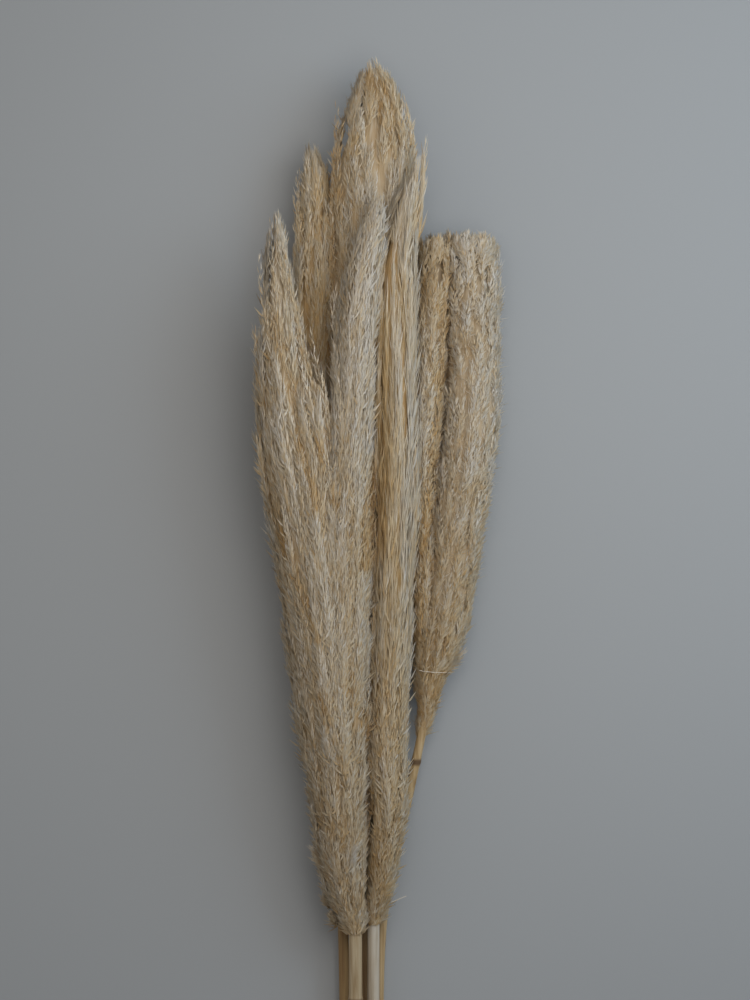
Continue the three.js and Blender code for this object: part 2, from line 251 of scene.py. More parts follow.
# A plume's heart has the dark, middle and pale colour of these streaks. A lobe has the seed of its folds
# and tufts, how far inside its outline the tufts keep, the length of those at its top, and the outline's
# rows: along, left, right, low, high.
plumes = {
    "front_left": {
        "slot": "plume_cream",
        "heart": [(0.52, 0.35, 0.18), (0.68, 0.52, 0.33), (0.77, 0.66, 0.50)],
        "lobes": {
            "outer": {
                "seed": 11, "inset": 0.0030, "top_tufts": 0.120,
                "outline": [
                    (-0.1515, -0.027, -0.010, 0.024, 0.041), (-0.115, -0.045, -0.008, 0.018, 0.055),
                    (-0.060, -0.055, -0.007, 0.015, 0.069), (0.087, -0.076, -0.005, 0.024, 0.089),
                    (0.167, -0.087, -0.020, 0.028, 0.095), (0.243, -0.098, -0.042, 0.034, 0.098),
                    (0.300, -0.099, -0.053, 0.038, 0.097), (0.350, -0.096, -0.060, 0.046, 0.092),
                    (0.428, -0.087, -0.076, 0.062, 0.078),
                ],
            },
            "inner": {
                "seed": 23, "inset": 0.0030, "top_tufts": 0.090,
                "outline": [
                    (0.040, -0.048, -0.008, 0.034, 0.082), (0.167, -0.050, -0.003, 0.042, 0.093),
                    (0.243, -0.044, -0.002, 0.048, 0.099), (0.300, -0.038, 0.0, 0.054, 0.101),
                    (0.350, -0.033, 0.003, 0.060, 0.099), (0.400, -0.022, 0.006, 0.064, 0.093),
                    (0.444, -0.006, 0.008, 0.070, 0.082),
                ],
            },
            "between": {
                "seed": 37, "inset": 0.0030, "top_tufts": 0.110,
                "outline": [
                    (-0.020, -0.046, -0.014, 0.040, 0.078), (0.087, -0.064, -0.022, 0.044, 0.090),
                    (0.167, -0.073, -0.024, 0.048, 0.096), (0.243, -0.078, -0.024, 0.052, 0.098),
                    (0.290, -0.074, -0.028, 0.058, 0.094), (0.310, -0.066, -0.034, 0.066, 0.088),
                ],
            },
        },
    },
    "middle_right": {
        "slot": "plume_honey",
        "heart": [(0.52, 0.29, 0.11), (0.71, 0.47, 0.22), (0.81, 0.63, 0.38)],
        "lobes": {
            "whole": {
                "seed": 7930, "inset": 0.0020, "top_tufts": 0.140,
                "outline": [
                    (-0.1445, -0.011, 0.003, 0.016, 0.031), (-0.116, -0.011, 0.012, 0.013, 0.042),
                    (-0.064, -0.012, 0.022, 0.011, 0.055), (0.004, -0.012, 0.024, 0.011, 0.064),
                    (0.087, -0.010, 0.028, 0.013, 0.073), (0.167, -0.009, 0.032, 0.017, 0.080),
                    (0.240, -0.008, 0.034, 0.025, 0.087), (0.320, -0.007, 0.0325, 0.035, 0.090),
                    (0.390, -0.003, 0.0315, 0.047, 0.086), (0.435, 0.011, 0.0312, 0.054, 0.078),
                    (0.470, 0.0275, 0.0345, 0.060, 0.070),
                ],
            },
        },
    },
    "tall_middle": {
        "slot": "plume_cream",
        "heart": [(0.52, 0.35, 0.18), (0.68, 0.52, 0.33), (0.77, 0.66, 0.50)],
        "lobes": {
            "whole": {
                "seed": 15849, "inset": 0.0035, "top_tufts": 0.076,
                "outline": [
                    (-0.091, -0.015, -0.001, 0.006, 0.020), (0.050, -0.031, 0.010, 0.002, 0.034),
                    (0.200, -0.042, 0.020, 0.001, 0.046), (0.330, -0.045, 0.024, 0.002, 0.058),
                    (0.400, -0.045, 0.030, 0.007, 0.064), (0.460, -0.041, 0.031, 0.017, 0.066),
                    (0.500, -0.033, 0.028, 0.027, 0.064), (0.530, -0.021, 0.020, 0.034, 0.058),
                    (0.551, -0.014, 0.005, 0.040, 0.050),
                ],
            },
        },
    },
    "right": {
        "slot": "plume_tan",
        "heart": [(0.46, 0.32, 0.18), (0.60, 0.46, 0.30), (0.71, 0.59, 0.43)],
        "lobes": {
            "outer": {
                "seed": 23768, "inset": 0.0040, "top_tufts": 0.036,
                "outline": [
                    (0.006, 0.0300, 0.0385, 0.010, 0.019), (0.030, 0.0290, 0.049, 0.010, 0.029),
                    (0.055, 0.0270, 0.057, 0.008, 0.037), (0.076, 0.0270, 0.068, 0.006, 0.044),
                    (0.107, 0.030, 0.077, 0.002, 0.050), (0.147, 0.034, 0.084, -0.002, 0.056),
                    (0.208, 0.040, 0.094, -0.006, 0.062), (0.255, 0.044, 0.100, -0.010, 0.064),
                    (0.335, 0.047, 0.101, -0.004, 0.064), (0.387, 0.047, 0.100, 0.004, 0.061),
                    (0.413, 0.048, 0.098, 0.010, 0.056),
                ],
            },
            "inner": {
                "seed": 23791, "inset": 0.0035, "top_tufts": 0.036,
                "outline": [
                    (0.060, 0.028, 0.044, 0.010, 0.036), (0.110, 0.024, 0.050, 0.008, 0.044),
                    (0.190, 0.021, 0.051, 0.006, 0.054), (0.265, 0.021, 0.056, 0.006, 0.061),
                    (0.335, 0.023, 0.062, 0.008, 0.063), (0.387, 0.027, 0.066, 0.010, 0.061),
                    (0.410, 0.031, 0.066, 0.013, 0.056),
                ],
            },
        },
    },
    "back_left": {
        "slot": "plume_tan",
        "heart": [(0.50, 0.28, 0.11), (0.69, 0.46, 0.22), (0.79, 0.61, 0.38)],
        "lobes": {
            "whole": {
                "seed": 31687, "inset": 0.0030, "top_tufts": 0.080,
                "outline": [
                    (-0.061, -0.038, -0.024, 0.005, 0.019), (0.060, -0.062, -0.020, 0.001, 0.030),
                    (0.200, -0.072, -0.022, -0.002, 0.040), (0.300, -0.073, -0.024, -0.009, 0.046),
                    (0.360, -0.073, -0.026, 0.0, 0.050), (0.420, -0.069, -0.031, 0.012, 0.051),
                    (0.460, -0.063, -0.039, 0.022, 0.046), (0.487, -0.058, -0.051, 0.030, 0.037),
                ],
            },
        },
    },
}

THINNEST = 0.002  # half the width of a lobe that is drawn in
LOWEST = 0.0004  # above the floor
FOLDS = [(7, 20, 0.035), (13, -30, 0.030), (23, 40, 0.020)]  # waves round, turn per metre, depth
HEART_DEPTH = 0.0075  # from a lobe's outline in to its dense middle
HEART_START = 0.004  # from the outline's lowest row up to the heart's foot
HEART_STOP = 0.15  # of the length of its top tufts, from the heart's top to the lobe's
HEART_FOOT = 0.35  # the heart's width at its foot, against its full width
HEART_OPENING = 6  # how many times its full width it would gain from there over its whole length
HEART_TOP_POWER = 20  # the higher, the blunter its top
HEART_SIDES = 54
HEART_RINGS = 40
STRAIGHT_RADIUS = 0.04  # of a lobe that is made straight for its streaks


def drawn_in(outline, depth):
    """The rows of an outline drawn in by depth on all sides, but never to less than THINNEST."""
    rows = np.array(outline)
    sides = rows[:, 1:].reshape(-1, 2, 2)
    middle = sides.mean(2, keepdims=True)
    half = np.maximum(np.ptp(sides, axis=2, keepdims=True) / 2 - depth, THINNEST)
    rows[:, 1:] = (middle + half * np.array([-1, 1])).reshape(-1, 4)
    return rows


def folds(lobe, turn, along):
    """Height of the lobe's folds against its size. Each set of them is waves round the lobe that wind
    along it, with rounded ridges and sharp grooves: depth times (2 |cos(angle / 2)| - 1)."""
    starts = np.random.default_rng(lobe["seed"]).uniform(0, 2 * math.pi, len(FOLDS))
    angles = [waves * turn + winding * along + start for (waves, winding, _), start in zip(FOLDS, starts)]
    return sum(depth * (2 * np.abs(np.cos(angle / 2)) - 1) for angle, (_, _, depth) in zip(angles, FOLDS))


def ellipse_place(outline, along, turn, share):
    """Points of a lobe. Its section is an ellipse between left, right, low and high, and a point lies at
    the angle turn from +X towards +Z, at share of the way out."""
    left, right, low, high = np.moveaxis(smooth_rows(outline, along), -1, 0)
    x = (left + right) / 2 + share * (right - left) / 2 * np.cos(turn)
    z = (low + high) / 2 + share * (high - low) / 2 * np.sin(turn)
    return np.stack([x, along + np.zeros_like(x), z], -1)


def heart_top(lobe):
    """Where the lobe's dense middle ends, below its own end by a share of the length of the tufts there."""
    return lobe["outline"][-1][0] - lobe["top_tufts"] * HEART_STOP


def heart(lobe):
    """The dense middle of a lobe: a closed skin HEART_DEPTH below its outline, with the lobe's folds. It
    opens on a short cone at its foot, and 1 minus a high power of the way up rounds its top off. Returns
    points, faces and each point's place on the lobe when that is made straight."""
    outline = drawn_in(lobe["outline"], HEART_DEPTH)
    along = np.linspace(outline[0][0] + HEART_START, heart_top(lobe), HEART_RINGS)[:, None]
    turn = np.linspace(0, 2 * math.pi, HEART_SIDES, endpoint=False)[None]
    progress = np.linspace(0, 1, HEART_RINGS)[:, None]
    ends = np.minimum(1, HEART_FOOT + HEART_OPENING * progress) * (1 - progress**HEART_TOP_POWER)
    points = ellipse_place(outline, along, turn, ends * (1 + folds(lobe, turn, along)))
    points = np.concatenate([points.reshape(-1, 3), points[[0, -1]].mean(1)])
    points[:, 2] = np.maximum(points[:, 2], LOWEST * 2)
    straight = np.stack(np.broadcast_arrays(np.cos(turn), np.sin(turn), along / STRAIGHT_RADIUS), -1)
    straight = STRAIGHT_RADIUS * np.concatenate([straight.reshape(-1, 3), straight[[0, -1]].mean(1)])
    return points, grid_faces(HEART_RINGS, HEART_SIDES), straight


def heart_finish(name, dark, middle, pale):
    """Matted stalks of chaff in the gaps between the tufts: fine streaks from dark through middle to pale
    that run along the lobe, on its straightened place, with broad patches and with the streaks as bump."""
    material = bpy.data.materials.new(name)
    material.use_nodes = True
    nodes, links = material.node_tree.nodes, material.node_tree.links
    shader = nodes["Principled BSDF"]
    place = nodes.new("ShaderNodeAttribute")
    place.attribute_name = "straight"
    stretch = nodes.new("ShaderNodeMapping")
    stretch.inputs["Scale"].default_value = (700, 700, 45)
    grain = nodes.new("ShaderNodeTexNoise")
    grain.inputs["Scale"].default_value = 1
    grain.inputs["Detail"].default_value = 4
    patches = nodes.new("ShaderNodeTexNoise")
    patches.inputs["Scale"].default_value = 60
    both = nodes.new("ShaderNodeMix")
    both.inputs["Factor"].default_value = 0.3
    ramp = nodes.new("ShaderNodeValToRGB")
    ramp.color_ramp.elements.new(0.5).color = (*middle, 1)
    ramp.color_ramp.elements[0].position = 0.36
    ramp.color_ramp.elements[0].color = (*dark, 1)
    ramp.color_ramp.elements[-1].position = 0.64
    ramp.color_ramp.elements[-1].color = (*pale, 1)
    bump = nodes.new("ShaderNodeBump")
    bump.inputs["Strength"].default_value = 0.5
    bump.inputs["Distance"].default_value = 0.0003
    links.new(place.outputs["Vector"], stretch.inputs["Vector"])
    links.new(place.outputs["Vector"], patches.inputs["Vector"])
    links.new(stretch.outputs["Vector"], grain.inputs["Vector"])
    links.new(grain.outputs["Fac"], both.inputs["A"])
    links.new(patches.outputs["Fac"], both.inputs["B"])
    links.new(both.outputs["Result"], ramp.inputs["Fac"])
    links.new(ramp.outputs["Color"], shader.inputs["Base Color"])
    links.new(grain.outputs["Fac"], bump.inputs["Height"])
    links.new(bump.outputs["Normal"], shader.inputs["Normal"])
    shader.inputs["Roughness"].default_value = 0.85
    return material


for name, plume in plumes.items():
    finish = heart_finish("heart_" + name, *plume["heart"])
    for part, lobe in plume["lobes"].items():
        points, faces, straight = heart(lobe)
        piece = add_mesh(f"heart_{name}_{part}", points, faces)
        straightened = piece.data.attributes.new("straight", "FLOAT_VECTOR", "POINT")
        straightened.data.foreach_set("vector", straight.ravel())
        piece.data.materials.append(finish)
        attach(piece, "root")
        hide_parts("plume_" + name)

# The chaff of the lobes
# Each side branch carries hundreds of papery, silky spikelets, which point up and outwards, so that a
# branch looks like a lock of hair, and neighbouring locks lie together in tapered tufts with fine tips.
# They grow straight out of the branches, and are cream to golden tan when dry.

# How a lobe's tufts grow: how many there are and how many more crown its top, the locks of a tuft, the
# spikelets of a lock, their breadth, and the share of their spread that they keep past their bend. The
# habit has rows of: along, how far the spikelets spread in degrees, their length, their shade (0 dark, 1
# pale) and warmth, and the length and half width of the tufts. The dabs are places that differ: x, along,
# their reach in both, then what they add to shade and warmth, and the share of the usual spread.
# Some dabs are painted shade, wholly or in part, as the comments above them say.
growth = {
    "front_left": {
        "outer": {
            "tufts": 280, "crown": 14, "locks": 5, "per_lock": 40, "breadth": 0.0009, "bend": 0.6,
            "habit": [
                (-0.1515, 22, 0.010, 0.60, 0.44, 0.040, 0.0032),
                (-0.060, 22, 0.011, 0.66, 0.42, 0.050, 0.0036),
                (0.100, 21, 0.012, 0.74, 0.38, 0.075, 0.0044),
                (0.250, 17, 0.013, 0.80, 0.36, 0.115, 0.0050),
                (0.428, 13, 0.013, 0.82, 0.36, 0.120, 0.0046),
            ],
            "dabs": [(-0.075, 0.150, 0.012, 0.07, -0.10, 0.10, 1.0)],
        },
        "inner": {
            "tufts": 190, "crown": 20, "locks": 5, "per_lock": 40, "breadth": 0.0009, "bend": 0.6,
            "habit": [
                (0.040, 22, 0.011, 0.74, 0.38, 0.070, 0.0044),
                (0.200, 20, 0.012, 0.80, 0.34, 0.100, 0.0050),
                (0.350, 19, 0.012, 0.86, 0.30, 0.100, 0.0050),
                (0.444, 20, 0.011, 0.88, 0.28, 0.090, 0.0046),
            ],
            "dabs": [(-0.010, 0.330, 0.014, 0.10, 0.08, -0.10, 0.8)],
        },
        "between": {
            "tufts": 120, "crown": 14, "locks": 5, "per_lock": 40, "breadth": 0.0009, "bend": 0.6,
            "habit": [
                (-0.020, 22, 0.011, 0.70, 0.40, 0.060, 0.0040),
                (0.167, 19, 0.012, 0.78, 0.36, 0.100, 0.0050),
                (0.310, 15, 0.013, 0.82, 0.36, 0.110, 0.0048),
            ],
            "dabs": [],
        },
    },
    "middle_right": {
        "whole": {
            "tufts": 150, "crown": 14, "locks": 5, "per_lock": 42, "breadth": 0.0009, "bend": 0.6,
            "habit": [
                (-0.1445, 24, 0.010, 0.62, 0.60, 0.040, 0.0030),
                (-0.060, 23, 0.011, 0.64, 0.60, 0.055, 0.0034),
                (0.030, 17, 0.013, 0.68, 0.60, 0.080, 0.0036),
                (0.100, 8, 0.020, 0.78, 0.56, 0.150, 0.0036),
                (0.250, 6, 0.024, 0.84, 0.54, 0.190, 0.0036),
                (0.470, 7, 0.020, 0.84, 0.46, 0.140, 0.0030),
            ],
            "dabs": [
                # Partly painted shade in the groove beside the front-left plume, partly the left strands' own
                # warmer colour.
                (0.003, 0.230, 0.006, 0.10, -0.10, 0.34, 1.0),
                (0.030, 0.100, 0.006, 0.30, 0.14, -0.2, 0.8),
            ],
        },
    },
    "tall_middle": {
        "whole": {
            "tufts": 195, "crown": 56, "locks": 5, "per_lock": 38, "breadth": 0.0009, "bend": 0.7,
            "habit": [
                (-0.091, 22, 0.011, 0.46, 0.60, 0.050, 0.0034),
                (0.200, 22, 0.011, 0.56, 0.54, 0.080, 0.0044),
                (0.350, 23, 0.011, 0.72, 0.44, 0.085, 0.0046),
                (0.450, 24, 0.011, 0.80, 0.38, 0.075, 0.0042),
                (0.551, 20, 0.010, 0.72, 0.44, 0.076, 0.0034),
            ],
            "dabs": [
                # The tan band on the top's right side: partly the smoother underside's own tan, partly
                # painted shade; its chaff spreads less.
                (0.014, 0.505, 0.012, 0.045, -0.14, 0.14, 0.35),
                (-0.035, 0.445, 0.009, 0.060, -0.26, 0.20, 1.0),
                (-0.008, 0.430, 0.012, 0.060, 0.10, -0.10, 1.0),
            ],
        },
    },
    "right": {
        "outer": {
            "tufts": 300, "crown": 90, "locks": 4, "per_lock": 32, "breadth": 0.0013, "bend": 0.9,
            "habit": [
                (0.030, 20, 0.010, 0.56, 0.60, 0.030, 0.0026),
                (0.100, 24, 0.010, 0.63, 0.56, 0.038, 0.0030),
                (0.200, 28, 0.0095, 0.75, 0.34, 0.045, 0.0034),
                (0.300, 30, 0.009, 0.81, 0.22, 0.045, 0.0036),
                (0.416, 32, 0.009, 0.77, 0.28, 0.036, 0.0034),
            ],
            # Painted shade in the groove between this lobe and the inner one.
            "dabs": [(0.054, 0.330, 0.009, 0.10, -0.18, 0.08, 1.0)],
        },
        "inner": {
            "tufts": 150, "crown": 50, "locks": 4, "per_lock": 31, "breadth": 0.0013, "bend": 0.9,
            "habit": [
                (0.060, 20, 0.010, 0.60, 0.50, 0.040, 0.0030),
                (0.250, 27, 0.0095, 0.70, 0.48, 0.045, 0.0034),
                (0.414, 30, 0.009, 0.66, 0.50, 0.036, 0.0032),
            ],
            "dabs": [
                # Painted shade in the groove between this lobe and the outer one.
                (0.052, 0.370, 0.010, 0.04, -0.12, 0.06, 1.0),
                (0.035, 0.250, 0.008, 0.06, 0.12, -0.20, 1.0),
            ],
        },
    },
    "back_left": {
        "whole": {
            "tufts": 142, "crown": 24, "locks": 5, "per_lock": 36, "breadth": 0.0009, "bend": 0.6,
            "habit": [
                (-0.061, 20, 0.011, 0.60, 0.60, 0.050, 0.0034),
                (0.250, 17, 0.012, 0.76, 0.64, 0.090, 0.0040),
                (0.380, 16, 0.012, 0.84, 0.60, 0.090, 0.0040),
                (0.487, 14, 0.012, 0.82, 0.50, 0.080, 0.0034),
            ],
            "dabs": [(-0.045, 0.330, 0.010, 0.05, -0.04, 0.14, 1.0)],
        },
    },
}

# Painted shade: darker, warmer lines in the grooves between a plume's tufts and lobes. Each row: x and along
# of both ends, half width, and what they add to shade and warmth.
painted_shade_furrows = {
    "front_left": [
        (-0.0814, 0.3390, -0.0690, 0.2760, 0.0045, -0.42, 0.22),
        (-0.0724, 0.2828, -0.0468, 0.1820, 0.0026, -0.52, 0.46),
        (-0.0600, 0.3050, -0.0520, 0.2640, 0.0030, -0.40, 0.24),
        (-0.0548, 0.2668, -0.0332, 0.1892, 0.0026, -0.52, 0.46),
        (-0.0836, 0.1948, -0.0708, 0.1508, 0.0022, -0.35, 0.40),
        (-0.0628, 0.1356, -0.0468, 0.0828, 0.0022, -0.35, 0.40),
        (-0.0030, 0.2228, -0.0100, 0.1428, 0.0060, -0.50, 0.50),
        (-0.0444, 0.0420, -0.0400, 0.0200, 0.0020, -0.40, 0.40),
        (-0.0128, 0.0260, -0.0108, 0.0060, 0.0022, -0.45, 0.45),
    ],
    "middle_right": [(0.0032, 0.3340, 0.0040, 0.1500, 0.0060, -0.20, 0.30)],
    "tall_middle": [
        # These two draw the tan band down the top's right side: partly the smoother underside's own tan,
        # partly painted shade.
        (-0.0148, 0.5412, -0.0028, 0.5252, 0.0055, -0.26, 0.06),
        (-0.0028, 0.5252, 0.0124, 0.4820, 0.0065, -0.28, 0.10),
        (-0.0180, 0.4860, -0.0160, 0.4700, 0.0026, -0.30, 0.40),
    ],
    "right": [(0.0516, 0.3564, 0.0308, 0.0764, 0.0030, -0.22, 0.25)],
    "back_left": [(-0.0560, 0.3860, -0.0500, 0.3200, 0.0018, -0.22, 0.30)],
}

GOLDEN_ANGLE = math.pi * (3 - math.sqrt(5))
TURN_CHANCE = 0.25  # how far round the lobe a tuft may leave its place, in radians
UPPER_PULL = 0.30  # how far the tufts crowd towards the side that is seen, against the underside
STATIONS = 240  # along a lobe, at which the crowding of its tufts is worked out
FIRST_TIP = 0.5  # of a tuft's length, from the lobe's foot up to its first tip
GIRTH_ADDED = 0.012  # to the lobe's width and height together, so that its thin ends get tufts too
ORDER_RANGE = (-0.5, 1.5)  # how many places a tip may be out of its even order
TIP_SHARE_RANGE = (0.88, 1.04)  # of the way out, where a tuft's tip lies
ROOT_SHARE = 0.72  # of the way out, where a tuft comes out of the heart
RISE_POWER = 1.8  # of the curve on which it comes out
LENGTH_RANGE = (0.75, 1.2)  # a tuft's length against the habit's
WIDTH_RANGE = (0.75, 1.25)  # and its width
LEAN = 0.22  # how far a tuft may turn round the lobe over its length, in radians
LEAN_MIDDLE = 0.6  # share of its length where it lies as if it didn't turn
WAVE, WAVE_TURN = 0.05, 5  # depth of a tuft's wave round the lobe, and its angle over the whole length
CROWN_REACH = 0.95  # the square of how far out the tips of the crown's tufts may lie
CROWN_LENGTH = 0.6  # of a crown's tufts, against the lobe's other tufts
CROWN_DEPTH = 0.45  # of a tuft's length, over which the tips of the crown's tufts are spread

TUFT_BLUNT = 0.62  # share of a tuft's length, from its tip, over which its locks end
LOCK_END_POWER = 0.8  # the smaller, the fewer locks end right at their tuft's tip
LOCK_SHARE = 0.55  # a lock's length against its tuft's
LOCK_RANGE = (0.8, 1.2)  # and the least and most of that which a lock has
LOCK_FOOT_OFFSET = 0.3  # how far from its tuft's middle line a lock's foot lies, against its tip
PATH_STEP = 0.01  # share of a path, to both sides, over which its direction is taken
TUFT_FLAT = 0.7  # a tuft's thickness against its width
TUFT_FLARE = 0.16  # how far the outer locks of a tuft turn away from its middle, as a slope
TUFT_TAPER_POWER = 0.6  # of the curve on which a tuft narrows to its tip
SPIKELET_ROUND = 2.3  # how far round its lock, from the outer side, a spikelet may grow
SPIKELET_OFFSET = 0.0010  # how far from its lock's axis a spikelet may start
SPREAD_RANGE = (0.5, 1.4)  # a spikelet's spread against the usual
SIZE_RANGE = (0.55, 1.05)  # its size
BREADTH_RANGE = (0.7, 1.2)  # and its breadth
SPREAD_LOSS, SIZE_LOSS, BREADTH_LOSS = 0.55, 0.3, 0.4  # share of each that is lost at a lock's tip
BEND_AT = 0.42  # share of a spikelet that lies below its bend
LOOSE_HAIRS = 0.13  # share of the spikelets that are thin hairs standing off their lock
LOOSE_SPREAD, LOOSE_LEAST = 1.9, 0.12  # their spread against a spikelet's, and the angle added to it
LOOSE_LONGER = 0.25  # how much longer they are
LOOSE_BREADTH = 0.4  # their breadth against a spikelet's
BURIED = 0.0004  # a spikelet with its middle this far under a heart's skin isn't made

TUFT_SHADES, LOCK_SHADES, SPIKELET_SHADES = 0.05, 0.06, 0.14  # how much they differ in shade by chance
SPIKELET_WARMTHS = 0.10  # and in warmth
PALE_COOLER = 0.7  # how much less warm a paler spikelet is, for each part of its shade
# Painted shade: the spikelets near a tuft's root, deep in the plume, are made darker, on a power curve.
PAINTED_SHADE_AT_TUFT_ROOT, PAINTED_SHADE_ROOT_POWER = 0.22, 1.5  # how much darker a tuft's root is, and its curve
LOCK_TIP_PALER = 0.06  # how much paler a lock's tip is than its foot
# Painted light and shade: a tuft's upper locks are made paler and its lower ones darker.
PAINTED_TUFT_LIGHT_AND_SHADE = 0.07  # how much paler a tuft's upper locks are than its middle ones
# Painted shade: the spikelets on a lock's inner side, towards the plume, are made darker.
PAINTED_SHADE_INNER_SIDE = 0.04  # how much darker the spikelets on a lock's inner side are
ROOT_DARKER, TIP_PALER = 0.22, 0.10  # a spikelet's two ends, against its middle
# Painted shade and light: the folds' grooves are made darker and warmer, their ridges paler.
FOLD_PAINTED_SHADE = 1.3  # how much paler a ridge is than a groove, for each part of its height
FOLD_PAINTED_SHADE_WARMTH = 2.0  # and how much less warm
COLOUR_STRIP = 0.008  # half the width, in the colour map, of one spikelet's patch
MAP_EDGE = 0.004  # how near the colour map's edge a place may lie
ASKEW = (0.31, 0.27, 0.91)  # a direction that next to no blade has
FACING_FAN = 0.35  # slope by which a blade's shading normals fan out to its edges
FACING_AWAY = 0.8  # how far its shading normals lean the way that the spikelet does
FACING_LEAST = 0.2  # the least upward part of a shading normal, also on an underside


def unit(vectors):
    """The vectors at length 1."""
    return vectors / np.maximum(np.linalg.norm(vectors, axis=-1, keepdims=True), 1e-9)


def sliver_mesh(roots, middles, tips, breadths, shades, warmths, turns, facings):
    """Closed keeled blades of four triangles: each has a root, a tip and two corners beside its middle,
    raised by half its breadth to the side that the blade bows to. A corner's place in the colour map is
    (shade, warmth). The shading normals are the facings, fanned out a little across the blade, so that
    the chaff catches the light as silk."""
    ahead = unit(tips - roots)
    aside = unit(np.cross(ahead, ASKEW))
    above = np.cross(aside, ahead)
    cos, sin = np.cos(turns)[:, None], np.sin(turns)[:, None]
    across, keel = cos * aside + sin * above, cos * above - sin * aside
    bowed_out = np.where(np.sum((middles - roots) * keel, 1, keepdims=True) < 0, -1, 1)
    across, keel = across * bowed_out, keel * bowed_out
    half = breadths[:, None] / 2
    left, right = middles - half * across + half * keel, middles + half * across + half * keel
    points = np.stack([roots, left, right, tips], 1)
    points[..., 2] += np.maximum(LOWEST - points[..., 2].min(1), 0)[:, None]
    fan = FACING_FAN * across
    normals = np.stack([facings, facings - fan, facings + fan, facings], 1)
    normals[..., 2] = np.maximum(normals[..., 2], FACING_LEAST)
    normals = unit(normals)
    pattern = np.array([(0, 1, 3), (0, 3, 2), (0, 2, 1), (3, 1, 2)])
    faces = (np.arange(len(roots))[:, None, None] * 4 + pattern).reshape(-1, 3)
    root_shade, middle_shade, tip_shade = np.moveaxis(shades, -1, 0)
    place = {
        0: (root_shade, warmths), 1: (middle_shade, warmths - COLOUR_STRIP),
        2: (middle_shade, warmths + COLOUR_STRIP), 3: (tip_shade, warmths),
    }
    places = np.stack([np.stack(place[corner], -1) for corner in pattern.ravel()], 1).reshape(-1, 2)
    places = np.clip(places, MAP_EDGE, 1 - MAP_EDGE)
    return points.reshape(-1, 3), faces, places, normals.reshape(-1, 3)


def buried(points, lobe):
    """True for the points inside the lobe's dense middle, by more than BURIED."""
    rows = drawn_in(lobe["outline"], HEART_DEPTH + BURIED)
    left, right, low, high = np.moveaxis(smooth_rows(rows, points[..., 1]), -1, 0)
    across = (points[..., 0] - (left + right) / 2) / (right - left) * 2
    deep = (points[..., 2] - (low + high) / 2) / (high - low) * 2
    between = (points[..., 1] > rows[0][0]) & (points[..., 1] < heart_top(lobe))
    folded = 1 + folds(lobe, np.arctan2(deep, across), points[..., 1])
    return between & (across**2 + deep**2 < folded**2)


def dabbed(dabs, painted_shade_lines, points):
    """What a lobe's dabs and its plume's lines of painted shade add to shade and warmth at the points, and
    the share of the usual spread. A dab fades as a bell with the distance from its middle, measured in its
    own reaches, and a line of painted shade with the distance from it, measured in its half width."""
    shade, warmth, spread = np.zeros((3, *points.shape[:-1]))
    for x, along, reach_x, reach_along, more_shade, more_warmth, spread_share in dabs:
        distance = ((points[..., 0] - x) / reach_x) ** 2 + ((points[..., 1] - along) / reach_along) ** 2
        bell = np.exp(-distance)
        shade += more_shade * bell
        warmth += more_warmth * bell
        spread += (spread_share - 1) * bell
    for start_x, start_along, end_x, end_along, half, more_shade, more_warmth in painted_shade_lines:
        start, line = np.array([start_x, start_along]), np.array([end_x - start_x, end_along - start_along])
        from_start = points[..., :2] - start
        t = np.clip(from_start @ line / (line @ line), 0, 1)
        bell = np.exp(-np.sum((from_start - t[..., None] * line) ** 2, -1) / half**2)
        shade += more_shade * bell
        warmth += more_warmth * bell
    return shade, warmth, 1 + spread


